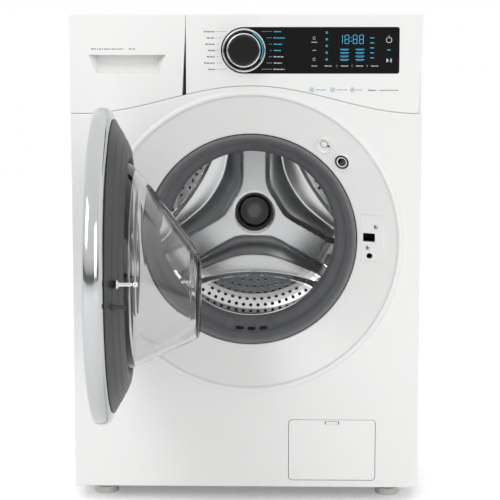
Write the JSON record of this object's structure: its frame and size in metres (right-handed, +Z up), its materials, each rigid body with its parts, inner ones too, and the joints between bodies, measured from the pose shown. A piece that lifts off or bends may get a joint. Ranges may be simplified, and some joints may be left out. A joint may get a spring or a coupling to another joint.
{
  "type": "front load washing machine",
  "caption": "Front loading washing machine with a round side-hinged door standing open, perforated drum, detergent drawer, dial and glass control panel.",
  "frame": {"origin": "middle of the footprint on the floor, with the door standing open", "axes": "+Z up, +X to the right of a person facing the door, the front faces -Y"},
  "size_m": [0.6, 1.0769, 0.85],
  "materials": {
    "white_paint": "gloss baked enamel",
    "white_plastic": "smooth moulded, semi-gloss",
    "grey_plastic": "satin moulded",
    "dark_plastic": "satin moulded",
    "black_glass": "high gloss, smoked",
    "clear_glass": "clear, thick, fire polished",
    "chrome": "bright plated",
    "steel": "bright rolled stainless",
    "zinc": "zinc plated, dull",
    "aluminium": "as cast",
    "rubber": "moulded, matte",
    "concrete": "cast, rough",
    "copper": "lacquered windings"
  },
  "bodies": {
    "cabinet": {"front_panel": "white_paint", "port_cap_upper": "white_plastic", "port_cap_lower": "white_plastic", "fascia": "white_plastic", "control_glass": "black_glass", "control_board": "grey_plastic", "dial_ring": "chrome", "cabinet_wrap": "white_paint", "rear_cover": "white_paint", "worktop": "white_plastic", "base_tray": "grey_plastic", "top_brace": "zinc", "drawer_housing": "grey_plastic", "inlet_valve": "white_plastic", "door_gasket": "rubber", "gasket_clamp": "steel", "damper_cylinder_left": "dark_plastic", "damper_cylinder_right": "dark_plastic", "spring_left": "steel", "spring_right": "steel", "drain_pump": "white_plastic", "hinge_bracket": "zinc", "hinge_pin": "steel", "lock_plate": "white_plastic", "door_lock": "dark_plastic", "lock_screw_upper": "steel", "lock_screw_lower": "steel"},
    "tub": {"tub_front": "grey_plastic", "tub_rear": "grey_plastic", "bearing_front": "steel", "bearing_rear": "steel", "stator": "copper", "front_weight": "concrete", "heater": "steel", "damper_rod_left": "steel", "damper_rod_right": "steel"},
    "drum": {"drum_shell": "steel", "lifter_1": "grey_plastic", "lifter_2": "grey_plastic", "lifter_3": "grey_plastic", "spider": "aluminium", "drum_shaft": "steel", "rotor": "zinc"},
    "door": {"door_ring": "chrome", "door_cover": "black_glass", "door_frame": "dark_plastic", "door_glass": "clear_glass", "hinge_arm": "zinc"},
    "hook": {"door_hook": "chrome"},
    "drawer": {"drawer_front": "white_plastic", "drawer_tray": "grey_plastic", "softener_cap": "grey_plastic"},
    "dial": {"dial_knob": "dark_plastic"},
    "flap": {"service_flap": "white_plastic"},
    "filter": {"pump_filter": "dark_plastic"},
    "impeller": {"pump_impeller": "grey_plastic"},
    "foot_front_left": {"foot_front_left": "dark_plastic"},
    "foot_front_right": {"foot_front_right": "dark_plastic"},
    "foot_rear_left": {"foot_rear_left": "dark_plastic"},
    "foot_rear_right": {"foot_rear_right": "dark_plastic"}
  },
  "joints": [
    {"name": "door_hinge", "type": "hinge", "parent": "cabinet", "child": "door", "pos_m": [-0.225, -0.0625, 0.458], "axis": [0, 0, 1], "range_deg": [-4, 87]},
    {"name": "hook_latch", "type": "hinge", "parent": "door", "child": "hook", "pos_m": [-0.16936, -0.49899, 0.4643], "axis": [0, 0, 1], "range_deg": [-3, 3], "stiffness_Nm_per_rad": 0.5},
    {"name": "tub_bounce", "type": "slide", "parent": "cabinet", "child": "tub", "axis": [0, 0, 1], "range_m": [-0.01, 0.01], "stiffness_N_per_m": 20000, "springref_m": 0.0153, "deforming": ["spring_left", "spring_right"]},
    {"name": "drum_spin", "type": "hinge", "parent": "tub", "child": "drum", "pos_m": [0.008, 0, 0.458], "axis": [0, 1, 0], "continuous": true},
    {"name": "drawer_slide", "type": "slide", "parent": "cabinet", "child": "drawer", "axis": [0, -1, 0], "range_m": [0, 0.145]},
    {"name": "dial_turn", "type": "hinge", "parent": "cabinet", "child": "dial", "pos_m": [-0.0029, 0, 0.788], "axis": [0, 1, 0], "continuous": true},
    {"name": "flap_hinge", "type": "hinge", "parent": "cabinet", "child": "flap", "pos_m": [0.15025, -0.05625, 0.0415], "axis": [1, 0, 0], "range_deg": [0, 65]},
    {"name": "filter_turn", "type": "hinge", "parent": "cabinet", "child": "filter", "pos_m": [0.15, 0, 0.094], "axis": [0, -1, 0], "range_deg": [0, 90]},
    {"name": "impeller_spin", "type": "hinge", "parent": "cabinet", "child": "impeller", "pos_m": [0.15, 0, 0.094], "axis": [0, 1, 0], "continuous": true},
    {"name": "foot_front_left_screw", "type": "slide", "parent": "cabinet", "child": "foot_front_left", "axis": [0, 0, -1], "range_m": [0, 0.012]},
    {"name": "foot_front_right_screw", "type": "slide", "parent": "cabinet", "child": "foot_front_right", "axis": [0, 0, -1], "range_m": [0, 0.012]},
    {"name": "foot_rear_left_screw", "type": "slide", "parent": "cabinet", "child": "foot_rear_left", "axis": [0, 0, -1], "range_m": [0, 0.012]},
    {"name": "foot_rear_right_screw", "type": "slide", "parent": "cabinet", "child": "foot_rear_right", "axis": [0, 0, -1], "range_m": [0, 0.012]}
  ]
}
